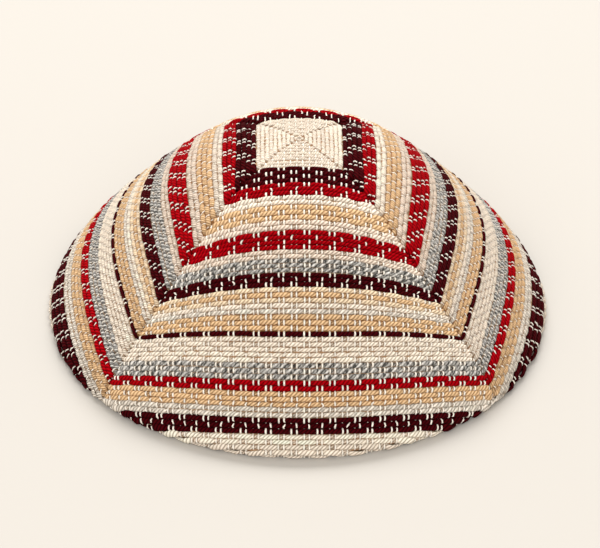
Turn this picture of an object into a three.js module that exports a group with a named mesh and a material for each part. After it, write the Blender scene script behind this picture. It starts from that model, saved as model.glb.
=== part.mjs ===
// A kippah: four gores of striped handwoven cloth, sewn together point to point at the crown.
// Millimetres, +Z up. The cap stands on its rim, with the crown over the origin.

import * as THREE from 'three';

// Sizes of the whole cap
const CAP_RADIUS = 88; // from the axis to the outside of the rim, at the middle of a gore
const CAP_HEIGHT = 72; // from the surface it stands on to the outside of the crown
const SEAM_SWING = 4.5; // degrees by which the front and back gores are wider at the rim

// Sizes of the cloth and its turned edges
const CLOTH = 2.2; // thickness of one layer
const HEM_WIDTH = 9; // edge turned up inside the rim
const HEM_STEP = 2; // width over which the hem's raw edge thins out
const ALLOWANCE_WIDTH = 6; // edge pressed flat beside each seam, inside
const ALLOWANCE_STEP = 1.5; // width over which that raw edge thins out
const SEAM_ROLL = 2; // width of the rounded fold beside each seam, outside
const SEAM_DIP = 0.7; // depth of the crease at a seam
const SEAM_GAP = 0.3; // clearance between neighbouring gores

// Steps of the mesh
const PANEL_ROWS = 20; // from the crown to the hem's raw edge
const HEM_ROWS = 3; // from the hem's full thickness to the rim
const PANEL_COLUMNS = 16; // between the two allowances of a gore
const LENGTH_STEPS = 200; // chords that a gore's length is measured with

// The outside of the cap. Each row is a level of a gore, from the crown to the rim.
// along: share of the gore's middle line. out: distance from the axis there, as a share of
// CAP_RADIUS. up: height, as a share of CAP_HEIGHT. corner: how much further out than round
// the cap stands at its seams, as a share of that distance. swing: share of SEAM_SWING.
const PROFILE = [
  { along: 0.0, out: 0.0, up: 1.0, corner: 0.0, swing: 0.0 },
  { along: 0.08, out: 0.108, up: 0.991, corner: 0.0, swing: 0.0 },
  { along: 0.16, out: 0.214, up: 0.963, corner: 0.005, swing: 0.02 },
  { along: 0.25, out: 0.326, up: 0.907, corner: 0.015, swing: 0.05 },
  { along: 0.35, out: 0.439, up: 0.815, corner: 0.05, swing: 0.11 },
  { along: 0.5, out: 0.586, up: 0.644, corner: 0.1, swing: 0.24 },
  { along: 0.65, out: 0.7255, up: 0.463, corner: 0.104, swing: 0.42 },
  { along: 0.8, out: 0.862, up: 0.279, corner: 0.092, swing: 0.64 },
  { along: 0.88, out: 0.931, up: 0.177, corner: 0.071, swing: 0.77 },
  { along: 0.94, out: 0.976, up: 0.094, corner: 0.048, swing: 0.88 },
  { along: 1.0, out: 1.0, up: 0.0, corner: 0.022, swing: 1.0 },
];

// Half of a gore's angle round the axis at the crown, where the four are alike
const HALF_ANGLE = Math.PI / 4;

// Largest shares of a gore's half width that its turned edges may take near the crown
const ALLOWANCE_LIMIT = 0.5;
const ROLL_LIMIT = 0.2;

// The gores in order round the cap, counter-clockwise from above. wide gores gain SEAM_SWING
// on each side and the others lose it.
const GORES = [
  { name: 'gore_front', wide: true },
  { name: 'gore_right', wide: false },
  { name: 'gore_back', wide: true },
  { name: 'gore_left', wide: false },
];

// The table's rows with one more at each end, mirrored, so that the crown is level
// and the wall meets the rim upright.
function profileWithEnds() {
  const [, second] = PROFILE;
  const beforeRim = PROFILE[PROFILE.length - 2];
  return [
    { ...second, along: -second.along, out: -second.out },
    ...PROFILE,
    { ...beforeRim, along: 2 - beforeRim.along, up: -beforeRim.up },
  ];
}

const LEVELS = profileWithEnds();

// A column of the table at any share of the way along: a cubic through the rows whose slope
// at each row is that of the line between its two neighbours.
function level(column, along) {
  const last = LEVELS.length - 3;
  let index = 1;
  while (index < last && LEVELS[index + 1].along < along) {
    index += 1;
  }
  const [before, low, high, after] = LEVELS.slice(index - 1, index + 3);
  const slopeAt = (a, b) => (b[column] - a[column]) / (b.along - a.along);
  const span = high.along - low.along;
  const s = (along - low.along) / span;
  const slopeLow = slopeAt(before, high) * span;
  const slopeHigh = slopeAt(low, after) * span;
  const rise = high[column] - low[column];
  const curve = slopeLow + slopeHigh - 2 * rise;
  return low[column] + s * (slopeLow + s * (3 * rise - 2 * slopeLow - slopeHigh + s * curve));
}

// Distance from the axis and height of a gore's middle line
function middleLine(along) {
  return new THREE.Vector2(CAP_RADIUS * level('out', along), CAP_HEIGHT * level('up', along));
}

function goreLength() {
  let length = 0;
  for (let step = 0; step < LENGTH_STEPS; step += 1) {
    const start = middleLine(step / LENGTH_STEPS);
    length += start.distanceTo(middleLine((step + 1) / LENGTH_STEPS));
  }
  return length;
}

// Outward direction of the wall: the middle line's own direction turned by a right angle
function wallNormal(along) {
  const reach = 1e-5;
  const forward = middleLine(along + reach).sub(middleLine(along - reach));
  return new THREE.Vector2(-forward.y, forward.x).normalize();
}

// Half of a gore's angle round the axis at a level
function halfAngle(along, wide) {
  const swing = THREE.MathUtils.degToRad(SEAM_SWING) * level('swing', along);
  return HALF_ANGLE + (wide ? swing : -swing);
}

// A point of the front gore. across runs from -1 at its left seam to 1 at its right one,
// and depth goes into the cloth, square to the wall.
function wallPoint(along, across, depth, wide) {
  const middle = middleLine(along);
  const normal = wallNormal(along);
  const squareness = 1 / Math.cos(across * HALF_ANGLE) - 1;
  const radius = middle.x * (1 + level('corner', along) * squareness) - depth * normal.x;
  const angle = across * halfAngle(along, wide);
  const height = middle.y - depth * normal.y;
  return [radius * Math.sin(angle), -radius * Math.cos(angle), height];
}

// Levels of the mesh, with the hem's thickness at each in layers of cloth
function meshRows(length) {
  const hemEdge = 1 - HEM_WIDTH / length;
  const hemFull = hemEdge + HEM_STEP / length;
  const rows = [];
  for (let row = 0; row <= PANEL_ROWS; row += 1) {
    rows.push({ along: (hemEdge * row) / PANEL_ROWS, hem: 0 });
  }
  for (let row = 0; row <= HEM_ROWS; row += 1) {
    rows.push({ along: THREE.MathUtils.lerp(hemFull, 1, row / HEM_ROWS), hem: 1 });
  }
  return rows;
}

// Columns of the mesh at a level: the seam, its rolled edge, the allowance's step, the open
// cloth between, and the same again up to the other seam.
function meshColumns(along, wide) {
  const halfWidth = level('out', along) * CAP_RADIUS * halfAngle(along, wide);
  const share = (width, limit) => (halfWidth * limit > width ? width / halfWidth : limit);
  const roll = share(SEAM_ROLL, ROLL_LIMIT);
  const allowance = share(ALLOWANCE_WIDTH, ALLOWANCE_LIMIT);
  const full = allowance * (1 - ALLOWANCE_STEP / ALLOWANCE_WIDTH);
  const edge = [
    { across: 1, fold: 1, dip: SEAM_DIP },
    { across: 1 - roll, fold: 1, dip: 0 },
    { across: 1 - full, fold: 1, dip: 0 },
  ];
  const columns = edge.map((column) => ({ ...column, across: -column.across }));
  for (let step = 0; step <= PANEL_COLUMNS; step += 1) {
    const across = (1 - allowance) * ((2 * step) / PANEL_COLUMNS - 1);
    columns.push({ across, fold: 0, dip: 0 });
  }
  return columns.concat(edge.reverse());
}

// One gore as a closed shell: the outside and the inside share their rows and columns, and
// each comes to a single point at the crown.
function goreGeometry(wide) {
  const rows = meshRows(goreLength());
  const columnCount = meshColumns(1, wide).length;
  const layerSize = 1 + (rows.length - 1) * columnCount;
  const positions = [];

  for (const inside of [false, true]) {
    rows.forEach(({ along, hem }, row) => {
      const columns = row === 0 ? [{ across: 0, fold: 1, dip: 0 }] : meshColumns(along, wide);
      for (const { across, fold, dip } of columns) {
        const depth = inside ? CLOTH * (1 + Math.max(hem, fold)) : dip;
        positions.push(...wallPoint(along, across, depth, wide));
      }
    });
  }

  const vertex = (layer, row, column) =>
    layer * layerSize + (row === 0 ? 0 : 1 + (row - 1) * columnCount + column);
  const indices = [];
  const addFace = (a, b, c, d) => {
    if (a !== b) {
      indices.push(a, c, b);
    }
    if (c !== d) {
      indices.push(b, c, d);
    }
  };

  const lastRow = rows.length - 1;
  const lastColumn = columnCount - 1;
  for (let row = 0; row < lastRow; row += 1) {
    for (let column = 0; column < lastColumn; column += 1) {
      const corners = [[row, column], [row, column + 1], [row + 1, column], [row + 1, column + 1]];
      const [a, b, c, d] = corners.map(([r, k]) => vertex(0, r, k));
      addFace(a, b, c, d);
      const [e, f, g, h] = corners.map(([r, k]) => vertex(1, r, k));
      addFace(f, e, h, g);
    }
    addFace(vertex(1, row, 0), vertex(0, row, 0), vertex(1, row + 1, 0), vertex(0, row + 1, 0));
    addFace(
      vertex(0, row, lastColumn),
      vertex(1, row, lastColumn),
      vertex(0, row + 1, lastColumn),
      vertex(1, row + 1, lastColumn),
    );
  }
  for (let column = 0; column < lastColumn; column += 1) {
    addFace(
      vertex(0, lastRow, column),
      vertex(0, lastRow, column + 1),
      vertex(1, lastRow, column),
      vertex(1, lastRow, column + 1),
    );
  }

  const geometry = new THREE.BufferGeometry();
  geometry.setAttribute('position', new THREE.Float32BufferAttribute(positions, 3));
  geometry.setIndex(indices);
  geometry.computeVertexNormals();
  return geometry;
}

function clothMaterial() {
  return new THREE.MeshStandardMaterial({ color: 0xd9c3a5, roughness: 0.95, metalness: 0 });
}

// Each gore is turned to its side of the cap and moved out from the axis, so that the
// clearance is the same along all four seams.
function kippah() {
  const cap = new THREE.Group();
  GORES.forEach(({ name, wide }, index) => {
    const gore = new THREE.Mesh(goreGeometry(wide), clothMaterial());
    const turn = (index * Math.PI) / 2;
    const outward = SEAM_GAP / Math.SQRT2;
    gore.name = name;
    gore.rotation.z = turn;
    gore.position.set(outward * Math.sin(turn), -outward * Math.cos(turn), 0);
    cap.add(gore);
  });
  return cap;
}

export default kippah();
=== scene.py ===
import bpy
import numpy as np
from mathutils import Matrix, Vector


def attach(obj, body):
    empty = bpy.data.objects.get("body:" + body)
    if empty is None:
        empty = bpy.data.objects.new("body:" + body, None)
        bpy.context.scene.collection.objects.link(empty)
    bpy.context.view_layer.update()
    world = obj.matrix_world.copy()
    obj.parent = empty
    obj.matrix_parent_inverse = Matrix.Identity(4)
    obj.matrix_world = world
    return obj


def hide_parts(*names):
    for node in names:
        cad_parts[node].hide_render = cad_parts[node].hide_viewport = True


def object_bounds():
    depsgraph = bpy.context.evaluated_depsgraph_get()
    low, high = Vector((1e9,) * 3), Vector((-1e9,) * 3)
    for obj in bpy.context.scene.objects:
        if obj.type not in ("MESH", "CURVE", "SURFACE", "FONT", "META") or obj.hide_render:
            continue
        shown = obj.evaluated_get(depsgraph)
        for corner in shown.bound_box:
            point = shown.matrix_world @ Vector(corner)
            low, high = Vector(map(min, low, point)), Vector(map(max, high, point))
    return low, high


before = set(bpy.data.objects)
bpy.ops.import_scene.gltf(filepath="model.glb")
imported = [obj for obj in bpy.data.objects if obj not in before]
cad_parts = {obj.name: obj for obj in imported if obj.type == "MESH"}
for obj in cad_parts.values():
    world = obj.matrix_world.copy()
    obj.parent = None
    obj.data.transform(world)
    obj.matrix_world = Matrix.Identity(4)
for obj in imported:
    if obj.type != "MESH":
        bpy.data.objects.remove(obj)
cad_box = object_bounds()


# The camera. It looks down at the front gore at 35 degrees, through a long lens from more than
# a metre off, so that the four seams run almost straight to the rim. It aims lower than the
# cap's middle, which leaves about as much room above the crown as below the front rim.
CAMERA_ELEVATION = np.radians(34.73)
CAMERA_AZIMUTH = np.radians(-0.84)
CAMERA_ROLL = np.radians(-0.556)
CAMERA_DISTANCE = 1.177
CAMERA_LENS_MM = 202.2
CAMERA_NEAR = 0.05
CAMERA_FAR = 20
CAP_MIDDLE = Vector((0, 0, 0.0335))
AIM_DOWN = 0.01587
AIM_RIGHT = 0.0007

towards_camera = Vector(
    (
        np.sin(CAMERA_AZIMUTH) * np.cos(CAMERA_ELEVATION),
        -np.cos(CAMERA_AZIMUTH) * np.cos(CAMERA_ELEVATION),
        np.sin(CAMERA_ELEVATION),
    )
)
level_right = Vector((np.cos(CAMERA_AZIMUTH), np.sin(CAMERA_AZIMUTH), 0))
stand = CAP_MIDDLE + CAMERA_DISTANCE * towards_camera
aim = CAP_MIDDLE - AIM_DOWN * towards_camera.cross(level_right) + AIM_RIGHT * level_right
backward = (stand - aim).normalized()
upward = backward.cross(level_right).normalized()
rightward = upward.cross(backward)
axes = (
    rightward * np.cos(CAMERA_ROLL) - upward * np.sin(CAMERA_ROLL),
    rightward * np.sin(CAMERA_ROLL) + upward * np.cos(CAMERA_ROLL),
    backward,
)
camera = bpy.data.objects.new("camera", bpy.data.cameras.new("camera"))
camera.data.lens = CAMERA_LENS_MM
camera.data.clip_start = CAMERA_NEAR
camera.data.clip_end = CAMERA_FAR
camera.matrix_world = Matrix.Translation(stand) @ Matrix(axes).transposed().to_4x4()
bpy.context.scene.collection.objects.link(camera)
bpy.context.scene.camera = camera


# The table and the light. The cap stands on a plain pale sheet of card that fills the view,
# in a room of soft warm light. A wide soft lamp high behind it gives the short shadow in
# front of the rim, and a wider, weaker one lights the front gore.
CARD_COLOUR = (0.498, 0.478, 0.450, 1)
CARD_ROUGHNESS = 0.95
CARD_HALF_WIDTH = 3.0
ROOM_COLOUR = (1.0, 0.945, 0.87, 1)
ROOM_STRENGTH = 0.75
LAMP_COLOUR = (1.0, 0.985, 0.96)

# Place, width, height and power of each lamp
LAMPS = {
    "back_lamp": (Vector((0.0, 1.6, 2.0)), 2.6, 0.6, 80.0),
    "front_lamp": (Vector((-0.2, -1.95, 1.6)), 3.4, 1.0, 40.0),
}


class Socket:
    """A shader socket that joins Math nodes where it is added, multiplied and so on."""

    def __init__(self, tree, socket):
        self.tree = tree
        self.socket = socket

    def node(self, kind, settings=None, sockets=None, output=0):
        """The output of a new node of this kind: its settings are set, then its sockets."""
        made = self.tree.nodes.new(kind)
        for name, value in (settings or {}).items():
            if name == "stops":
                ramp = made.color_ramp
                for place, colour in value[1:]:
                    ramp.elements.new(place).color = colour
                ramp.elements[0].position, ramp.elements[0].color = value[0]
                ramp.elements.remove(ramp.elements[len(value)])
            elif name == "ramp_steps":
                made.color_ramp.interpolation = value
            else:
                setattr(made, name, value)
        for name, value in (sockets or {}).items():
            if isinstance(value, Socket):
                self.tree.links.new(value.socket, made.inputs[name])
            else:
                made.inputs[name].default_value = value
        return Socket(self.tree, made.outputs[output])

    def maths(self, operation, *values):
        """The output of a new Math node on these values."""
        return self.node("ShaderNodeMath", {"operation": operation}, dict(enumerate(values)))

    def __add__(self, other):
        return self.maths("ADD", self, other)

    def __radd__(self, other):
        return self.maths("ADD", other, self)

    def __sub__(self, other):
        return self.maths("SUBTRACT", self, other)

    def __rsub__(self, other):
        return self.maths("SUBTRACT", other, self)

    def __mul__(self, other):
        return self.maths("MULTIPLY", self, other)

    def __rmul__(self, other):
        return self.maths("MULTIPLY", other, self)

    def __truediv__(self, other):
        return self.maths("DIVIDE", self, other)

    def __pow__(self, other):
        return self.maths("POWER", self, other)

    def __abs__(self):
        return self.maths("ABSOLUTE", self)

    def shade(self, colour, amount=1.0):
        """A colour multiplied by this value, by way of a Mix node."""
        mix = {"data_type": "RGBA", "blend_type": "MULTIPLY"}
        return self.node("ShaderNodeMix", mix, {0: amount, 6: colour, 7: self}, 2)


def new_finish(name, roughness, gloss):
    """A new material of this roughness and gloss, a start for its nodes, and its shader."""
    finish = bpy.data.materials.new(name)
    finish.use_nodes = True
    shader = finish.node_tree.nodes["Principled BSDF"]
    shader.inputs["Roughness"].default_value = roughness
    shader.inputs["Specular IOR Level"].default_value = gloss
    return finish, Socket(finish.node_tree, None), shader


card_mesh = bpy.data.meshes.new("table_card")
corner = CARD_HALF_WIDTH
card_mesh.from_pydata(
    [(-corner, -corner, 0), (corner, -corner, 0), (corner, corner, 0), (-corner, corner, 0)],
    [],
    [(0, 1, 2, 3)],
)
card = bpy.data.objects.new("table_card", card_mesh)
bpy.context.scene.collection.objects.link(card)
card_finish, start, shader = new_finish("pale_card", CARD_ROUGHNESS, 0.0)
shader.inputs["Base Color"].default_value = CARD_COLOUR
card_mesh.materials.append(card_finish)

room = bpy.data.worlds.new("soft_room")
room.use_nodes = True
room.node_tree.nodes["Background"].inputs["Color"].default_value = ROOM_COLOUR
room.node_tree.nodes["Background"].inputs["Strength"].default_value = ROOM_STRENGTH
bpy.context.scene.world = room

for name, (place, width, height, power) in LAMPS.items():
    lamp = bpy.data.objects.new(name, bpy.data.lights.new(name, "AREA"))
    lamp.data.shape = "ELLIPSE"
    lamp.data.size = width
    lamp.data.size_y = height
    lamp.data.energy = power
    lamp.data.color = LAMP_COLOUR
    lamp.location = place
    lamp.rotation_euler = (place - CAP_MIDDLE).to_track_quat("Z", "Y").to_euler()
    bpy.context.scene.collection.objects.link(lamp)
bpy.context.scene.view_settings.view_transform = "Standard"


# The ground cloth of the four gores: the densely packed heart of the handwoven cloth, which
# closes the small gaps between its yarns. Its colour is painted shade: the stripes darkened as
# the gaps between the yarns look. Each gore is cut as a triangle, sewn to the next along both
# sides with its allowances pressed open inside, and turned up at the rim as a hem.
MILLIMETRE = 0.001

# Sizes of the cut and sewn cloth, in millimetres
SEAM_GAP = 0.3
SEAM_SWING = np.radians(4.5)
CLOTH = 2.2
HEM_WIDTH = 9.0
HEM_CLEARANCE = 1.0
ALLOWANCE_WIDTH = 6.0
ALLOWANCE_LIMIT = 0.5
ALLOWANCE_STEP = 1.5
ALLOWANCE_DEPTH = 1.35 * CLOTH
TABLE_CLEARANCE = 0.02
CAP_HEIGHT = cad_box[1].z / MILLIMETRE
CAP_RADIUS = cad_box[1].x / MILLIMETRE - SEAM_GAP / np.sqrt(2)
GORES = ("gore_front", "gore_right", "gore_back", "gore_left")

# The rounded fold beside each seam: its width, the share of a narrow gore that it may take,
# its depth, and how much of that depth it has at two lengths from the crown
SEAM_ROLL = 2.0
ROLL_LIMIT = 0.2
SEAM_DIP = 1.1
CROWN_DIP = ([12, 24], [0.35, 1])

# The fold at the rim: how square it is, and how far its outer corner is drawn out
FOLD_POWER = 8
FOLD_CORNER = 0.15

# The steps that the wall's line and the ground cloth are worked out in
WALL_CHORDS = 480
WALL_STEPS = 460
FOLD_STEPS = 13
HEM_STEPS = 40
GROUND_START = 0.6
GROUND_ROWS = 72
ROW_CROWDING = 0.9
GROUND_COLUMNS = 48
EDGE_COLUMNS = 4
SLIVER = 1e-6

# The ground cloth's own thickness; its colour, the stripes' yarn colours darkened as painted
# shade; how much darker as painted shade it gets between the rows and between the floats, by
# the relief that also drives its bump; its finish and bump; and the width that four warp ends take
GROUND_HALF_THICK = 0.15
GROUND_PAINTED_SHADE = (0.55, 0.38, 0.25)
GROUND_PAINTED_SHADE_DARKEST = 0.6
GROUND_ROUGHNESS = 0.95
GROUND_GLOSS = 0.05
GROUND_BUMP = 0.0008
GROUND_BUMP_STRENGTH = 0.9
FLOAT_LEVEL = 0.5
FLOAT_RELIEF = 0.3
WARP_PERIOD = 8.5

# Where its faces lie on the baked map: size and margin of a face, and the spot for its edges
FACE_SIZE = np.array([1 / 2.1, 0.98])
FACE_MARGIN = 0.01
EDGE_SPOT = np.array([0.996, 0.5])
EDGE_SPOT_SIZE = 0.002

# Levels of the wall from the crown to the rim, with one mirrored row at each end: share of
# the gore's length, distance from the axis and height as shares of the cap's, how much further
# out than round the corners stand, and share of the seams' swing.
WALL = np.array(
    [
        (-0.08, -0.108, 0.991, 0.0, 0.0),
        (0.0, 0.0, 1.0, 0.0, 0.0),
        (0.08, 0.108, 0.991, 0.0, 0.0),
        (0.16, 0.214, 0.963, 0.005, 0.02),
        (0.25, 0.326, 0.907, 0.015, 0.05),
        (0.35, 0.439, 0.815, 0.05, 0.11),
        (0.5, 0.586, 0.644, 0.1, 0.24),
        (0.65, 0.7255, 0.463, 0.104, 0.42),
        (0.8, 0.862, 0.279, 0.092, 0.64),
        (0.88, 0.931, 0.177, 0.071, 0.77),
        (0.94, 0.976, 0.094, 0.048, 0.88),
        (1.0, 1.0, 0.0, 0.022, 1.0),
        (1.06, 0.976, -0.094, 0.048, 0.88),
    ]
)

# Where the woven rows lie, as shares of the gore's length: row counted from the crown, the
# middle of a front or back gore, the middle of a side gore, and the seam between them.
ROWS = np.array(
    [
        (-10, -0.131, -0.125, -0.178),
        (0, 0.0, 0.0, 0.0),
        (10, 0.1285, 0.125, 0.178),
        (14, 0.186, 0.184, 0.27),
        (17, 0.230, 0.230, 0.319),
        (24, 0.339, 0.356, 0.462),
        (28, 0.396, 0.428, 0.522),
        (36, 0.503, 0.548, 0.642),
        (45, 0.6445, 0.672, 0.765),
        (50, 0.719, 0.730, 0.838),
        (55, 0.799, 0.808, 0.922),
        (60, 0.873, 0.893, 1.014),
        (63, 0.920, 0.972, 1.085),
        (68, 0.9965, 1.066, 1.2),
        (75, 1.11, 1.18, 1.365),
        (82, 1.22, 1.29, 1.53),
    ]
)
LAST_ROW = 74
ROW_PLACES = 4 * LAST_ROW

# Colours of the yarns, and the stripes as they follow from the crown to the hem's raw edge,
# each with its number of rows
YARNS = {
    "cream": (0.98, 0.87, 0.745),
    "rose_cream": (0.90, 0.76, 0.64),
    "beige": (0.95, 0.77, 0.56),
    "gold": (0.83, 0.57, 0.33),
    "red": (0.40, 0.0, 0.004),
    "maroon": (0.06, 0.001, 0.003),
    "grey": (0.77, 0.745, 0.71),
    "silver": (0.96, 0.88, 0.78),
}
STRIPES = (
    ("cream", 10),
    ("maroon", 4),
    ("red", 3),
    ("cream", 2),
    ("gold", 3),
    ("rose_cream", 2),
    ("red", 4),
    ("rose_cream", 2),
    ("grey", 3),
    ("maroon", 3),
    ("beige", 1),
    ("gold", 1),
    ("beige", 1),
    ("cream", 1),
    ("silver", 1),
    ("gold", 3),
    ("maroon", 1),
    ("cream", 5),
    ("grey", 3),
    ("red", 2),
    ("gold", 3),
    ("silver", 2),
    ("maroon", 3),
    ("cream", 12),
)


def through_rows(table, column, at):
    """A column of a table at any value of its first one: a cubic between each two rows, whose
    slope at a row is that of the line between the row's two neighbours."""
    place, value = table[:, 0], table[:, column]
    low = np.clip(np.searchsorted(place[1:-1], at, side="right"), 1, len(place) - 3)
    span = place[low + 1] - place[low]
    slope = (value[2:] - value[:-2]) / (place[2:] - place[:-2])
    start_slope, end_slope = slope[low - 1] * span, slope[low] * span
    rise = value[low + 1] - value[low]
    s = (at - place[low]) / span
    bend = start_slope + end_slope - 2 * rise
    return value[low] + s * (start_slope + s * (rise - start_slope - bend + s * bend))


def wall_line(share):
    """Distance from the axis and height of the wall's outside at a share of the gore's
    length, and the directions out and down there: down is the line's own direction, and out
    is that turned by a right angle."""
    reach = 1e-5
    ahead, behind = (
        np.stack(
            [
                CAP_RADIUS * through_rows(WALL, 1, share + step),
                CAP_HEIGHT * through_rows(WALL, 2, share + step),
            ],
            axis=-1,
        )
        for step in (reach, -reach)
    )
    down = ahead - behind
    down /= np.linalg.norm(down, axis=-1, keepdims=True)
    out = np.stack([-down[..., 1], down[..., 0]], axis=-1)
    return (ahead + behind) / 2, out, down


def cloth_path():
    """The cloth's middle layer from the crown down the wall, round the rim's fold as half a
    circle drawn out into its corners, and up inside as the hem. Each row of the result is one
    place: the length of cloth from the crown, the wall's distance from the axis, its corner
    and swing, the offset of the layer from it, the height, and the direction out of the
    cloth's right side. The second result is the length from the crown to the rim."""
    shares = np.linspace(0, 1, WALL_CHORDS + 1)
    middle, out, down = wall_line(shares)
    length = np.linalg.norm(np.diff(middle, axis=0), axis=1).sum()
    above_fold = middle[:, 1] - CLOTH * (1 + out[:, 1])
    fold = np.interp(0, above_fold[::-1], shares[::-1])
    wall = np.linspace(0, fold, WALL_STEPS)
    turn = np.linspace(0, np.pi, FOLD_STEPS + 2)[1:-1]
    hem = np.linspace(fold, 1 - HEM_WIDTH / length, HEM_STEPS)
    share = np.concatenate([wall, np.full(FOLD_STEPS, fold), hem])
    angle = np.concatenate([np.zeros(WALL_STEPS), turn, np.full(HEM_STEPS, np.pi)])[:, None]
    middle, out, down = wall_line(share)
    side = np.cos(angle) * out + np.sin(angle) * down
    powers = np.abs(np.cos(angle)) ** FOLD_POWER + np.sin(angle) ** FOLD_POWER
    squarer = powers ** (-1 / FOLD_POWER)
    squarer += FOLD_CORNER * np.clip(np.sin(2 * angle), 0, 1)
    depth = -CLOTH * out + CLOTH / 2 * squarer * side
    along = share * length
    round_fold = CLOTH / 2 * angle[WALL_STEPS:, 0]
    along[WALL_STEPS:] = fold * length + round_fold + np.abs(fold - share[WALL_STEPS:]) * length
    corner, swing = through_rows(WALL, 3, share), through_rows(WALL, 4, share)
    columns = [along, middle[:, 0], corner, swing, depth[:, 0], middle[:, 1] + depth[:, 1]]
    return np.column_stack([*columns, side]), length


PATH, GORE_LENGTH = cloth_path()
RAW_EDGE = PATH[-1, 0]


def half_turn(along, gore):
    """Half of a gore's angle round the axis, at a length of cloth from the crown."""
    swing = SEAM_SWING * np.interp(along, PATH[:, 0], PATH[:, 3])
    return np.pi / 4 + (swing if gore % 2 == 0 else -swing)


def seam_distance(along, across, gore):
    """How far a place is from the gore's nearest seam, and from its middle to a seam."""
    width = np.interp(along, PATH[:, 0], PATH[:, 1]) * half_turn(along, gore)
    return (1 - np.abs(across)) * width, width


def cloth_place(along, across, height, gore):
    """A place on a gore and the direction out of its right side. along is the length of
    cloth from the crown, across runs from -1 at one seam to 1 at the other, and height
    stands out of the middle layer. Close to a seam the cloth rolls inwards, as the square of
    how near the seam is, and less so at the crown."""
    reach, corner, swing, inset, level, out_x, out_z = (
        np.interp(along, PATH[:, 0], PATH[:, column]) for column in range(1, 8)
    )
    distance, width = seam_distance(along, across, gore)
    roll = np.minimum(SEAM_ROLL, ROLL_LIMIT * width + SLIVER)
    dip = SEAM_DIP * roll / SEAM_ROLL * np.clip(1 - distance / roll, 0, 1) ** 2
    height = height - dip * np.interp(along, *CROWN_DIP)
    squareness = 1 / np.cos(across * np.pi / 4) - 1
    radius = reach * (1 + corner * squareness) + inset + height * out_x
    turn = gore * np.pi / 2
    angle = across * half_turn(along, gore) + turn
    outward = SEAM_GAP / np.sqrt(2)
    point = [
        radius * np.sin(angle) + outward * np.sin(turn),
        -radius * np.cos(angle) - outward * np.cos(turn),
        level + height * out_z,
    ]
    out = [out_x * np.sin(angle), -out_x * np.cos(angle), out_z]
    return np.stack(point, axis=-1), np.stack(out, axis=-1)


def row_along(row, across, gore):
    """Length of cloth from the crown to a woven row: the row lies lower towards the seams, by
    as much as a straight line across a flat wedge gets further from its point."""
    middle = through_rows(ROWS, 1 if gore % 2 == 0 else 2, row)
    seam = through_rows(ROWS, 3, row)
    bow = (1 / np.cos(across * np.pi / 4) - 1) / (np.sqrt(2) - 1)
    return GORE_LENGTH * (middle + (seam - middle) * bow)


def make_piece(name, points, faces, maps, finish):
    """A smooth mesh from arrays: points in millimetres, of which none stays lower than the
    clearance over the table, faces as blocks of equal corner counts, and UV maps with one
    pair of values for each corner of each face."""
    mesh = bpy.data.meshes.new(name)
    counts = np.concatenate([np.full(len(block), block.shape[1]) for block in faces])
    corners = np.concatenate([block.ravel() for block in faces])
    mesh.vertices.add(len(points))
    points[:, 2] = np.maximum(points[:, 2], TABLE_CLEARANCE)
    mesh.vertices.foreach_set("co", (points * MILLIMETRE).ravel())
    mesh.loops.add(len(corners))
    mesh.loops.foreach_set("vertex_index", corners)
    mesh.polygons.add(len(counts))
    mesh.polygons.foreach_set("loop_start", np.cumsum(counts) - counts)
    mesh.polygons.foreach_set("use_smooth", np.ones(len(counts), bool))
    for title, values in maps.items():
        layer = mesh.uv_layers.new(name=title)
        layer.data.foreach_set("uv", values.ravel())
    mesh.update(calc_edges=True)
    mesh.validate()
    mesh.materials.append(finish)
    piece = bpy.data.objects.new(name, mesh)
    bpy.context.scene.collection.objects.link(piece)
    return piece


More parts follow.
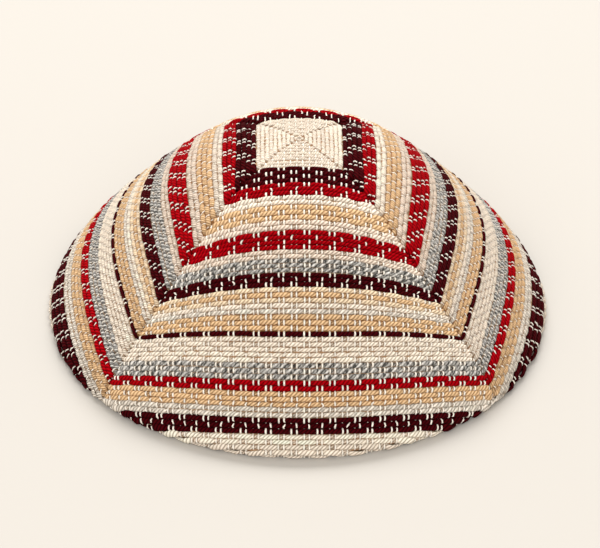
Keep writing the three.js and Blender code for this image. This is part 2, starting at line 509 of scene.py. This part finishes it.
def ground_mesh(gore):
    """The two faces of a gore's ground cloth on one grid, from the crown to the hem's raw
    edge and from seam to seam, joined round the edge. Its inner face lies deeper within an
    allowance's width of a seam, and steps back over the allowance's raw edge. The map Weave
    holds the length from the gore's middle and the woven row, and OFBake both faces."""
    along = np.linspace(0, 1, GROUND_ROWS + 1)[:, None] ** ROW_CROWDING * RAW_EDGE
    along[0] = GROUND_START
    width = seam_distance(along, 0, gore)[1]
    allowance = np.minimum(ALLOWANCE_WIDTH, ALLOWANCE_LIMIT * width)
    step = ALLOWANCE_STEP * allowance / ALLOWANCE_WIDTH
    middle = np.linspace(-1, 1, GROUND_COLUMNS + 1 - 2 * EDGE_COLUMNS)[None, :]
    middle = middle * (1 - allowance / width)
    rolled = np.array([0, SEAM_ROLL / 2, SEAM_ROLL]) * allowance / ALLOWANCE_WIDTH
    edge = 1 - np.concatenate([rolled, allowance - step], axis=1) / width
    across = np.concatenate([-edge, middle, edge[:, ::-1]], axis=1)
    distance = (1 - np.abs(across)) * width
    along = np.broadcast_to(along, across.shape)
    folded = np.clip((allowance - distance) / step, 0, 1)
    above_hem = np.clip(GORE_LENGTH - HEM_WIDTH - HEM_CLEARANCE - along, 0, 1)
    depth = GROUND_HALF_THICK + ALLOWANCE_DEPTH * folded * above_hem
    rows, columns = across.shape
    outside = cloth_place(along, across, GROUND_HALF_THICK, gore)[0].reshape(-1, 3)
    inside = cloth_place(along, across, -depth, gore)[0].reshape(-1, 3)
    index = np.arange(rows * columns).reshape(rows, columns)
    quads = np.stack([index[:-1, :-1], index[1:, :-1], index[1:, 1:], index[:-1, 1:]], axis=-1)
    quads = quads.reshape(-1, 4)
    rim = np.concatenate([index[0, :-1], index[:-1, -1], index[-1, :0:-1], index[:0:-1, 0]])
    after = np.roll(rim, -1)
    back = rows * columns
    wall = np.stack([rim, after, after + back, rim + back], axis=-1)
    faces = [quads, quads[:, ::-1] + back, wall]
    centre = cloth_place(along, across, 0, gore)[0]
    warp = np.linalg.norm(np.diff(centre, axis=1), axis=-1).cumsum(axis=1)
    warp = np.concatenate([np.zeros((rows, 1)), warp], axis=1)
    warp -= warp[:, columns // 2, None]
    row_grid = np.linspace(0, LAST_ROW, ROW_PLACES)
    row = np.stack(
        [
            np.interp(along[:, c], row_along(row_grid, across[:, c].mean(), gore), row_grid)
            for c in range(columns)
        ],
        axis=1,
    )
    weave = np.stack([warp, row], axis=-1).reshape(-1, 2)
    face = np.stack([(across + 1) / 2, along / RAW_EDGE], axis=-1).reshape(-1, 2)
    sheet = face * FACE_SIZE + FACE_MARGIN
    corners = np.concatenate([block.ravel() for block in faces])
    woven = np.concatenate([weave, weave])[corners]
    atlas = np.concatenate([sheet, sheet + [0.5, 0]])[corners]
    spot = np.tile([(0, 0), (1, 0), (1, 1), (0, 1)], (len(wall), 1))
    atlas[-len(spot) :] = EDGE_SPOT + EDGE_SPOT_SIZE * spot
    return np.concatenate([outside, inside]), faces, {"Weave": woven, "OFBake": atlas}


def stripe_stops():
    """The stripes as stops of a stepped colour ramp over the share of LAST_ROW, in the yarns'
    colours darkened as painted shade, as they look in the gaps deep in the cloth."""
    stops, row = [], 0
    for yarn, count in STRIPES:
        if row < LAST_ROW:
            shadow = np.array(YARNS[yarn]) * GROUND_PAINTED_SHADE
            stops.append((row / LAST_ROW, (*shadow, 1)))
        row += count
    return stops


ground_finish, start, shader = new_finish("ground_weave", GROUND_ROUGHNESS, GROUND_GLOSS)
weave = start.node("ShaderNodeUVMap", {"uv_map": "Weave"})
warp_at = weave.node("ShaderNodeSeparateXYZ", None, {0: weave}, 0)
row_at = weave.node("ShaderNodeSeparateXYZ", None, {0: weave}, 1)
stripe = start.node(
    "ShaderNodeValToRGB",
    {"stops": stripe_stops(), "ramp_steps": "CONSTANT"},
    {0: row_at / LAST_ROW},
)
# Painted shade: the stripe is darker between the rows and between the floats, by the relief that
# also drives the bump
float_wave = weave.maths("SINE", warp_at * (2 * np.pi / (WARP_PERIOD / 2)))
row_wave = abs(weave.maths("SINE", row_at * np.pi))
relief = row_wave * (FLOAT_LEVEL + FLOAT_RELIEF * float_wave)
stripe_with_painted_shade = (GROUND_PAINTED_SHADE_DARKEST + (1 - GROUND_PAINTED_SHADE_DARKEST) * relief).shade(stripe)
bump = start.node(
    "ShaderNodeBump",
    None,
    {"Strength": GROUND_BUMP_STRENGTH, "Distance": GROUND_BUMP, "Height": relief},
)
ground_finish.node_tree.links.new(stripe_with_painted_shade.socket, shader.inputs["Base Color"])
ground_finish.node_tree.links.new(bump.socket, shader.inputs["Normal"])

ground_pieces = []
for gore, node in enumerate(GORES):
    piece = make_piece(node.replace("gore", "ground"), *ground_mesh(gore), ground_finish)
    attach(piece, "root")
    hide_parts(node)
    ground_pieces.append(piece)


# The weft: thick soft cotton of three plies, one pick for each woven row. It floats over one
# pair of warp ends and dips under the next. The pairs change places from row to row or step
# on as a twill. The square and the side gores' pale stripes are a fine plain weave.
WEFT_SIDES = 8
WEFT_HALF_WIDTH = 0.85
WEFT_HALF_HEIGHT = 0.6
WEFT_LIFT = 0.36
WEFT_RAISE = 0.10
WEFT_PLY = 1.35
WEFT_PLIES = 3
SQUARE_ROWS = 10

# Where the warp ends lie: the middle of one pair, and how far its ends are from that
FLOAT_START = -2.0
STITCH_SPREAD = 0.86

# The rows of the front gore where the pairs don't change places, those where only these ends
# of the four pass over, and the single maroon row, which the second pair passes over
HELD_ROWS = (15, 18, 25, 34, 48, 57, 61)
SINGLE_ENDS = {
    15: (1,),
    18: (1, 3),
    25: (0,),
    26: (3,),
    34: (1, 3),
    48: (1, 3),
    57: (1, 3),
    61: (1, 3),
}
MAROON_LINE = 44
TWILL_LAG = 6

# How wide the dip under a warp end is, how much longer the fine weave is up than down, how a
# pick swells where it is up, and its width by the distance between rows: that distance, the
# limits, the maroon line in the side gores, and the swelling round the rim's fold
STITCH_DIP = 0.68
LONGER_UP = 0.3
FLOAT_SWELL = 0.17
ROW_PITCH = 1.85
PITCH_LIMITS = (0.6, 1.2)
SIDE_LINE = 0.75
FOLD_SWELL = 0.6
FOLD_REACH = ([-5, -2, 1, 2.5], [0, 1, 1, 0])

# Places along a pick, and the rounding of its two ends
PICK_PLACES = 401
SHORTEST_PICK = 9
END_CLEARANCE = 0.9
END_RINGS = np.array([0, 0.22, 0.6])
END_ROUND = 0.7
END_BLUNT = 0.93
chance = np.random.default_rng(7)

# Painted shade where a yarn lies down in the weave: from which lift it starts, over how much
# of it it grows, how much darker it makes red, green and blue, and how much more in some yarns
PAINTED_SHADE_FROM = 0.5
PAINTED_SHADE_REACH = 1.3
PAINTED_RECESS_SHADE = np.array([0.52, 0.62, 0.70])
PAINTED_SHADE_DEPTH = {"red": 1.3, "maroon": 1.3, "grey": 1.2}

# The marled yarns, spun from a pale ply and darker ones: how much darker those are
MARLED = {"grey": 0.9, "silver": 0.42}

# How the picks differ by weave: rings in a period, height of a float and of the yarn, twist,
# mottling, the share of the painted recess shade, and spacing and size of the random changes
# in lift and in the row's place
FLOATS = {
    "rings": 10,
    "lift": 1.0,
    "height": 1.0,
    "twist": 1.0,
    "mottled": 0.06,
    "lift_wander": (4.5, 0.09),
    "row_wander": (9, 0.035),
}
FINE_WEAVE = {
    "rings": 12,
    "lift": 0.45,
    "height": 1.0,
    "twist": 1.7,
    "mottled": 0.14,
    "recess_painted_shade": 0.6,
    "lift_wander": (4.5, 0.16),
    "row_wander": (4.5, 0.06),
}
SQUARE_WEAVE = {**FINE_WEAVE, "height": 0.6, "mottled": 0.06, "recess_painted_shade": 0.1}

# Spacing and size of the random changes along every pick, in the floats' places, the
# thickness and the colour, and size of those from pick to pick
PLACE_WANDER = (9, 0.1)
THICKNESS_WANDER = (6, 0.03)
THICKNESS_VARIES = 0.03
COLOUR_WANDER = (12, 0.03)
COLOUR_VARIES = 0.035

# Where the four warp ends of a period lie, and which of them pass over each pick. In the
# front gore they are the two ends of one pair, and those of the other pair in the next row.
# In the other gores they step on by one end from row to row, and near the crown in two rows
# out of three.
END_PLACES = np.array([-STITCH_SPREAD, STITCH_SPREAD] * 2) + np.repeat([0, WARP_PERIOD / 2], 2)
changes = np.cumsum([row not in HELD_ROWS for row in range(LAST_ROW + 2)])
second_pair = (changes - changes[MAROON_LINE]) % 2 == 0
OVER = np.repeat(np.stack([~second_pair, second_pair], axis=1), 2, axis=1)
for row, ends in SINGLE_ENDS.items():
    OVER[row] = [end in ends for end in range(4)]
row_numbers = np.arange(LAST_ROW + 2)
twill = np.maximum(2 * row_numbers // 3, row_numbers - TWILL_LAG)[:, None]
RIGHT_OVER = (np.arange(4) - twill) % 4 < 2
LEFT_OVER = (np.arange(4) + twill) % 4 < 2
PASSES = (OVER, RIGHT_OVER, RIGHT_OVER, LEFT_OVER)

# Which rows are the fine plain weave, in the front and back gores and in the side gores
DARK_YARNS = ("red", "maroon")
ROW_YARNS = [yarn for yarn, count in STRIPES for _ in range(count)]
pale_row = np.array([yarn not in DARK_YARNS for yarn in ROW_YARNS] + [True] * 2)[: LAST_ROW + 2]
PLAIN = (row_numbers < SQUARE_ROWS, (row_numbers < SQUARE_ROWS) | pale_row)


def wander(length, spacing, size):
    """A slow random change along a yarn: random values at knots a spacing apart, with a
    straight line between two knots."""
    knots = np.arange(length.min() - 2 * spacing, length.max() + 2 * spacing, spacing)
    return np.interp(length, knots, chance.normal(0, size, len(knots)))


def weft_pick(row, gore):
    """One pick as the rings of a tube: it follows its row from seam to seam or from raw edge
    to raw edge. In the fine weave it rises and sinks as a flattened cosine of its length from
    the middle. Elsewhere it keeps up but for a dip, the exponential of minus the square of
    the distance, under each warp end that passes over it. It is wider where it is up."""
    fine = np.linspace(-1, 1, PICK_PLACES)
    fine_along = row_along(row + 0.5, fine, gore)
    inside = fine_along <= RAW_EDGE
    if inside.sum() < SHORTEST_PICK:
        return None
    fine, fine_along = fine[inside], fine_along[inside]
    points = cloth_place(fine_along, fine, 0, gore)[0]
    run = np.concatenate([[0], np.linalg.norm(np.diff(points, axis=0), axis=1).cumsum()])
    run -= np.interp(0, fine, run)
    first, last = run[0], run[-1]
    plain = PLAIN[gore % 2][row]
    weave = FINE_WEAVE if plain else FLOATS
    if row < SQUARE_ROWS:
        weave = SQUARE_WEAVE
    step = WARP_PERIOD / weave["rings"]
    nearest = np.ceil((first + END_CLEARANCE - FLOAT_START) / step)
    furthest = np.floor((last - END_CLEARANCE - FLOAT_START) / step)
    inner = np.arange(nearest, furthest + 1) * step + FLOAT_START
    length = np.concatenate([first + END_RINGS, inner, last - END_RINGS[::-1]])
    length = np.unique(np.round(length, 4))
    across = np.interp(length, run, fine)
    place = length + wander(length, *PLACE_WANDER) - FLOAT_START
    if plain:
        wave = 2 * np.pi * (2 * place / WARP_PERIOD - 0.25 - row / 2)
        lift = np.tanh(2 * (np.cos(wave) + LONGER_UP))
    else:
        away = place[:, None] - END_PLACES[PASSES[gore][row]]
        away = (away + WARP_PERIOD / 2) % WARP_PERIOD - WARP_PERIOD / 2
        lift = 1 - 2 * np.minimum(np.exp(-((away / STITCH_DIP) ** 2)).sum(axis=1), 1)
    lift *= 1 + wander(length, *weave["lift_wander"])
    # Painted shade: how much darker a pick is painted where it lies down in the weave
    shade_mask = np.clip((PAINTED_SHADE_FROM - lift) / PAINTED_SHADE_REACH, 0, 1)[:, None]
    swell = 1 - FLOAT_SWELL + FLOAT_SWELL * lift
    lift *= weave["lift"]
    end = np.minimum(length - first, last - length)
    rounded = np.sqrt(1 - np.clip(1 - end / END_ROUND, 0, END_BLUNT) ** 2)
    along = row_along(row + 0.5 + wander(length, *weave["row_wander"]), across, gore)
    along = np.minimum(along, RAW_EDGE)
    centre, out = cloth_place(along, across, WEFT_RAISE + WEFT_LIFT * lift, gore)
    varied = 1 + chance.normal(0, THICKNESS_VARIES) + wander(length, *THICKNESS_WANDER)
    thickness = varied * rounded
    pitch = row_along(row + 1, across, gore) - row_along(row, across, gore)
    at_fold = np.interp(along - GORE_LENGTH, *FOLD_REACH)
    pitch = np.clip(pitch / ROW_PITCH, *PITCH_LIMITS) * (1 + FOLD_SWELL * at_fold)
    if row == MAROON_LINE and gore % 2:
        pitch *= SIDE_LINE
    yarn = ROW_YARNS[row]
    # The pick's colour: its dye, with painted shade where it lies down in the weave
    recess_painted_shade = shade_mask * PAINTED_RECESS_SHADE * weave.get("recess_painted_shade", PAINTED_SHADE_DEPTH.get(yarn, 1))
    tint = 1 + chance.normal(0, COLOUR_VARIES) + wander(length, *COLOUR_WANDER)
    colour = np.array(YARNS[yarn]) * tint[:, None] * (1 - recess_painted_shade)
    mottling = np.full(len(length), MARLED.get(yarn, weave["mottled"]))
    return {
        "centre": centre,
        "out": out,
        "wide": WEFT_HALF_WIDTH * pitch * thickness * swell,
        "high": WEFT_HALF_HEIGHT * thickness * weave["height"],
        "twist": weave["twist"],
        "colour": np.column_stack([colour, mottling]),
    }


# Room on the baked map: for the shelves' ends, between two strips, and how large an end cap is
SPARE_ROOM = 1.12
STRIP_SPACING = 1.06
CAP_DISC = 0.4
LONGEST_START = 50


def packed_strips(lengths, widths):
    """Places for strips of these sizes in a square, on shelves: each strip goes, longest
    first, on the first shelf with room. Gives each strip's corner and the square's side."""
    side = np.sqrt((lengths * widths).sum() * SPARE_ROOM)
    side = max(side, lengths.max())
    shelves = []
    corners = np.zeros((len(lengths), 2))
    top = 0
    for strip in np.argsort(-lengths):
        shelf = next((s for s in shelves if s[0] + lengths[strip] <= side), None)
        if shelf is None:
            shelf = [0, top]
            shelves.append(shelf)
            top += widths.max()
        corners[strip] = shelf
        shelf[0] += lengths[strip]
    return corners, max(side, top)


def tube_mesh(strands, sides):
    """Tubes along strands of rings: an oval ring of points round each place of each strand,
    quads between a ring and the next, and a flat cap at each end. The map Yarn holds the
    length in millimetres times the twist, from a random start, and the share of the way
    round, and OFBake a strip for each yarn. The last result is the colour of each point."""
    sizes = np.array([len(strand["wide"]) for strand in strands])
    starts = np.cumsum(sizes) - sizes
    centre, out, wide, high, colour = (
        np.concatenate([strand[part] for strand in strands])
        for part in ("centre", "out", "wide", "high", "colour")
    )
    forward = np.concatenate([np.gradient(strand["centre"], axis=0) for strand in strands])
    forward /= np.linalg.norm(forward, axis=1, keepdims=True)
    sideways = np.cross(forward, out)
    sideways /= np.linalg.norm(sideways, axis=1, keepdims=True)
    out = np.cross(sideways, forward)
    turn = np.arange(sides) / sides
    cosine, sine = np.cos(2 * np.pi * turn), np.sin(2 * np.pi * turn)
    across = (wide[:, None] * cosine)[..., None] * sideways[:, None]
    points = centre[:, None] + across + (high[:, None] * sine)[..., None] * out[:, None]
    length = np.concatenate(
        [
            np.concatenate([[0], np.linalg.norm(np.diff(s["centre"], axis=0), axis=1).cumsum()])
            for s in strands
        ]
    )
    twist = np.repeat([strand["twist"] for strand in strands], sizes)
    rings = np.arange(sizes.sum())
    joined = np.setdiff1d(rings, starts + sizes - 1)[:, None]
    side = np.arange(sides)[None, :]
    beside = (side + 1) % sides
    quads = np.stack(
        [joined * sides + side, (joined + 1) * sides + side]
        + [(joined + 1) * sides + beside, joined * sides + beside],
        axis=-1,
    ).reshape(-1, 4)
    caps = np.concatenate(
        [starts[:, None] * sides + side, (starts + sizes - 1)[:, None] * sides + side[:, ::-1]]
    )
    strand_of = np.repeat(np.arange(len(strands)), sizes)
    girth = 2 * np.pi * np.sqrt((wide.max() ** 2 + high.max() ** 2) / 2)
    reach = length[starts + sizes - 1]
    margin = girth / 2
    strip_widths = np.full(len(strands), girth * STRIP_SPACING)
    corner, square = packed_strips(reach + 2 * margin, strip_widths)
    offset = chance.uniform(0, LONGEST_START, len(strands))[strand_of]
    ring_of = (joined + np.array([0, 1, 1, 0])[None, :])[:, None, :].repeat(sides, axis=1)
    share = (side[..., None] + np.array([0, 0, 1, 1])[None, None, :]) / sides
    share = np.broadcast_to(share, ring_of.shape)
    wound = length * twist + offset
    yarn = np.stack([wound[ring_of], share], axis=-1).reshape(-1, 2)
    strip = corner[strand_of[ring_of]]
    atlas = np.stack(
        [strip[..., 0] + margin + length[ring_of], strip[..., 1] + share * girth], axis=-1
    ).reshape(-1, 2)
    cap_ring = caps // sides
    cap_turn = (caps % sides) / sides
    first_cap = np.arange(len(caps)) < len(strands)
    cap_x = np.where(first_cap, margin / 2, np.tile(reach, 2) + 1.5 * margin)[:, None]
    cap_corner = corner[strand_of[cap_ring]]
    disc = CAP_DISC * margin
    cap_atlas = np.stack(
        [
            cap_corner[..., 0] + cap_x + disc * np.cos(2 * np.pi * cap_turn),
            cap_corner[..., 1] + girth / 2 + disc * np.sin(2 * np.pi * cap_turn),
        ],
        axis=-1,
    ).reshape(-1, 2)
    cap_yarn = np.stack([wound[cap_ring], cap_turn], axis=-1).reshape(-1, 2)
    maps = {
        "Yarn": np.concatenate([yarn, cap_yarn]),
        "OFBake": np.concatenate([atlas, cap_atlas]) / square,
    }
    return points.reshape(-1, 3), [quads, caps], maps, np.repeat(colour, sides, axis=0)


def dye_with_painted_shade(piece, colour):
    """The colour of each point of a piece's yarns, with the painted shade where they lie down in
    the weave, and in the fourth place how much darker their darker ply and specks are, as the
    attribute YarnColour."""
    attribute = piece.data.attributes.new("YarnColour", "FLOAT_COLOR", "POINT")
    attribute.data.foreach_set("color", np.clip(colour, 0, 1).astype(np.float32).ravel())


# The cotton's surface: how matt it is, how round its plies, how sharp the specks of the marled
# yarns, what the plies and the specks each give to the marl, how light the fibres are, and
# how the noise is stretched along a ply, along the yarn and round it
COTTON_ROUGHNESS = 0.8
COTTON_GLOSS = 0.03
PLY_ROUNDNESS = 0.6
SPECK_CONTRAST = 7
SPECK_CUT = -3.1
PLY_MARL = 0.55
SPECK_MARL = 0.45
FIBRE_DARKEST = 0.72
FIBRE_RANGE = 0.56
FIBRE_RELIEF = 0.35
FIBRE_STRETCH = (5.0, 0.5, 2.0)
SPECK_STRETCH = (0.5, 1.3, 1.5)
SPECK_SCALE = 1.3


def spun_cotton(name, ply_length, plies, groove_painted_shade, groove_painted_deepening, bump_height):
    """Twisted cotton on the map Yarn. The plies are the absolute sine of the length and the
    way round together, so they wind round the yarn. Fine noise stretched along them makes
    the fibres, and coarser noise the specks. In the grooves between the plies the colour is
    darkened as painted shade, and the dye is multiplied by itself, a painted shade that
    deepens it; the surface is lower there too."""
    finish, start, shader = new_finish(name, COTTON_ROUGHNESS, COTTON_GLOSS)
    place = start.node("ShaderNodeUVMap", {"uv_map": "Yarn"})
    length = place.node("ShaderNodeSeparateXYZ", None, {0: place}, 0)
    around = place.node("ShaderNodeSeparateXYZ", None, {0: place}, 1)
    dyed_with_painted_shade = start.node("ShaderNodeAttribute", {"attribute_name": "YarnColour"})
    twist = length / ply_length - around * plies
    wound = place.maths("SINE", twist * np.pi)
    swollen = abs(wound) ** PLY_ROUNDNESS
    directions = (twist, length, around)
    stretched = {n: way * SPECK_STRETCH[n] for n, way in enumerate(directions)}
    speck_place = start.node("ShaderNodeCombineXYZ", None, stretched)
    speck = start.node(
        "ShaderNodeTexNoise", None, {"Vector": speck_place, "Scale": SPECK_SCALE, "Detail": 1.0}
    )
    speck = start.node(
        "ShaderNodeMath",
        {"operation": "MULTIPLY_ADD", "use_clamp": True},
        {0: speck, 1: SPECK_CONTRAST, 2: SPECK_CUT},
    )
    second_ply = wound.maths("GREATER_THAN", wound, 0)
    marled = Socket(dyed_with_painted_shade.tree, dyed_with_painted_shade.socket.node.outputs["Alpha"])
    marl = 1 - marled * (PLY_MARL * second_ply + SPECK_MARL * speck)
    stretched = {n: way * FIBRE_STRETCH[n] for n, way in enumerate(directions)}
    fibre_place = start.node("ShaderNodeCombineXYZ", None, stretched)
    fibre = start.node(
        "ShaderNodeTexNoise", None, {"Vector": fibre_place, "Scale": 1.0, "Detail": 2.0}
    )
    painted_groove_deepening = dyed_with_painted_shade.shade(dyed_with_painted_shade, groove_painted_deepening * (1 - swollen))
    ply_painted_shade = (1 - groove_painted_shade) + groove_painted_shade * swollen
    colour = (ply_painted_shade * marl * (FIBRE_DARKEST + FIBRE_RANGE * fibre)).shade(painted_groove_deepening)
    relief = swollen + FIBRE_RELIEF * fibre
    bump = start.node(
        "ShaderNodeBump", None, {"Strength": 1.0, "Distance": bump_height, "Height": relief}
    )
    finish.node_tree.links.new(colour.socket, shader.inputs["Base Color"])
    finish.node_tree.links.new(bump.socket, shader.inputs["Normal"])
    return finish


# Painted shade in the grooves between the plies
weft_finish = spun_cotton(
    "thick_weft_cotton",
    WEFT_PLY,
    WEFT_PLIES,
    groove_painted_shade=0.2,
    groove_painted_deepening=0.8,
    bump_height=0.0007,
)
weft_pieces = []
for gore, node in enumerate(GORES):
    picks = [weft_pick(row, gore) for row in range(LAST_ROW)]
    picks = [pick for pick in picks if pick is not None]
    points, faces, maps, colour = tube_mesh(picks, WEFT_SIDES)
    piece = make_piece(node.replace("gore", "weft"), points, faces, maps, weft_finish)
    dye_with_painted_shade(piece, colour)
    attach(piece, "root")
    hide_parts(node)
    weft_pieces.append(piece)


# The warp: thin firm cream cotton ends in pairs, which run from the crown's seams down to
# the hem's raw edge. They show as pairs of short pale stitches between the weft's floats,
# and as single slanting ones in some rows. Those of the other gores are thinner.
WARP_SIDES = 6
WARP_HALF_WIDTH = 0.31
WARP_HALF_HEIGHT = 0.32
THINNER = 0.78
TAPER = 0.6
WARP_LIFT = 0.74
WARP_PLY = 0.8
WARP_PLIES = 2
WARP_COLOUR = (0.97, 0.92, 0.84, 0.05)

# How a stitch slants, how high it rises alone and in the fine weave, and how deep an end
# tucks in between two stitches
STITCH_SLANT = 0.42
SINGLE_RISE = 0.85
PLAIN_RISE = 0.55
TUCK = 1.5

# Places along an end and across a gore, the row where the gore is widest, and where an end
# starts and stops
LEVELS_PER_ROW = 3
WARP_PLACES = 121
WIDEST_ROW = 69
SEAM_CLEARANCE = 0.4
FIRST_LEVEL = 0.2
SHORTEST_END = 4
HEM_FRAY = 0.4

# Random changes from stitch to stitch, along an end, and from end to end
STITCH_VARIES = 0.07
END_WANDER = (4, 0.07)
END_VARIES = 0.06
END_COLOUR_VARIES = 0.03


def warp_course(place, end, levels, gore):
    """How a warp end at its place rises and leans along the levels. Its height is half a cosine
    in each row, up where it passes over the pick and down elsewhere, and it tucks in between
    two rows that it is over, so that each stitch stands alone. A single stitch slants, and in
    the fine weave the ends of a pair lean apart until all are evenly spaced."""
    passes = PASSES[gore]
    rows = np.arange(len(passes))
    number = (place - FLOAT_START) / WARP_PERIOD
    over = passes[:, end].copy()
    plain = PLAIN[gore % 2]
    over[plain] = np.cos(2 * np.pi * (2 * number - 0.25 - rows[plain] / 2)) < 0
    from_pair = ((2 * number + 0.5) % 1 - 0.5) * WARP_PERIOD / 2
    lean = np.where(plain, np.sign(from_pair) * WARP_PERIOD / 8 - from_pair, 0)
    lean = lean + over * chance.normal(0, STITCH_VARIES, len(rows))
    single = passes[:, 0] != passes[:, 1]
    slant = over * chance.normal(0, STITCH_SLANT, len(rows)) * single
    state = np.where(over, 1.0, -1.0) * (1 + chance.normal(0, STITCH_VARIES, len(rows)))
    state[single & over] *= SINGLE_RISE
    state[plain & over] = PLAIN_RISE
    row = levels.astype(int)
    away = levels - row - 0.5
    beside = np.clip(row + np.sign(away).astype(int), 0, len(rows) - 1)
    tucked = over[row] & over[beside]
    rise = state[row] * np.cos(np.pi * away) - tucked * TUCK * (2 * away) ** 2
    return rise, np.interp(levels, rows + 0.5, lean) + slant[row] * 2 * away


def warp_ends(gore):
    """The warp ends of a gore as the rings of tubes. At each level between the rows, an end
    lies where the row's length from the middle is the end's own, so it starts at a seam."""
    levels = np.arange(1, LEVELS_PER_ROW * LAST_ROW) / LEVELS_PER_ROW
    fine = np.linspace(0, 1, WARP_PLACES)
    along = row_along(levels[:, None], fine[None, :], gore)
    points = cloth_place(np.minimum(along, RAW_EDGE), fine[None, :], 0, gore)[0]
    run = np.linalg.norm(np.diff(points, axis=1), axis=-1).cumsum(axis=1)
    run = np.concatenate([np.zeros((len(levels), 1)), run], axis=1)
    run = np.maximum.accumulate(run + np.linspace(0, SLIVER, WARP_PLACES)[None, :], axis=1)
    widest = run[: WIDEST_ROW * LEVELS_PER_ROW, -1].max()
    last_pair = int(2 * widest / WARP_PERIOD) + 1
    pairs = np.arange(-last_pair, last_pair + 1)
    strands = []
    for pair in pairs:
        for twin in (-1, 1):
            place = FLOAT_START + pair * WARP_PERIOD / 2 + twin * STITCH_SPREAD
            if abs(place) > widest - SEAM_CLEARANCE:
                continue
            rise, lean = warp_course(place, 2 * (pair % 2) + (twin > 0), levels, gore)
            place = place + lean + wander(levels, *END_WANDER)
            across = np.array(
                [np.interp(abs(p), r, fine, right=np.nan) for p, r in zip(place, run)]
            )
            across = across * np.sign(place)
            low = row_along(levels, np.nan_to_num(across), gore)
            edge = RAW_EDGE - abs(chance.normal(0, HEM_FRAY))
            kept = ~np.isnan(across) & (low < edge) & (levels > FIRST_LEVEL)
            if kept.sum() < SHORTEST_END:
                continue
            first = kept.argmax()
            kept &= np.arange(len(levels)) < first + np.argmin(np.append(kept[first:], False))
            if kept.sum() < SHORTEST_END:
                continue
            centre, out = cloth_place(low[kept], across[kept], WARP_LIFT * rise[kept], gore)
            size = np.full(kept.sum(), THINNER if gore else 1) * (1 + chance.normal(0, END_VARIES))
            size[[0, -1]] *= TAPER
            tint = (1 + chance.normal(0, END_COLOUR_VARIES)) * np.array(WARP_COLOUR)
            # Painted shade: an end is painted darker where it lies down in the weave
            shade_mask = np.clip((PAINTED_SHADE_FROM - rise[kept]) / PAINTED_SHADE_REACH, 0, 1)[:, None]
            strands.append(
                {
                    "centre": centre,
                    "out": out,
                    "wide": WARP_HALF_WIDTH * size,
                    "high": WARP_HALF_HEIGHT * size,
                    "twist": 1.0,
                    "colour": tint * np.append(1 - shade_mask * PAINTED_RECESS_SHADE, np.ones_like(shade_mask), axis=1),
                }
            )
    return strands


# Painted shade in the grooves between the plies
warp_finish = spun_cotton(
    "fine_warp_cotton",
    WARP_PLY,
    WARP_PLIES,
    groove_painted_shade=0.1,
    groove_painted_deepening=0.5,
    bump_height=0.00015,
)
warp_pieces = []
for gore, node in enumerate(GORES):
    points, faces, maps, colour = tube_mesh(warp_ends(gore), WARP_SIDES)
    piece = make_piece(node.replace("gore", "warp"), points, faces, maps, warp_finish)
    dye_with_painted_shade(piece, colour)
    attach(piece, "root")
    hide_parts(node)
    warp_pieces.append(piece)


# The cloth as it was cut: for each gore, its width at the rim between the raw edges of its
# allowances and its area from the crown point to the hem's raw edge, worked out but not used.
SHEET_PLACES = 200
for gore, (ground, weft, warp) in enumerate(zip(ground_pieces, weft_pieces, warp_pieces)):
    rim_width = 2 * seam_distance(GORE_LENGTH, 0, gore)[1] + 2 * ALLOWANCE_WIDTH
    levels = np.linspace(0, RAW_EDGE, SHEET_PLACES)
    widths = 2 * seam_distance(np.minimum(levels, GORE_LENGTH), 0, gore)[1]
    rim_width * MILLIMETRE
    float((widths + 2 * ALLOWANCE_WIDTH).mean() * RAW_EDGE * MILLIMETRE**2)
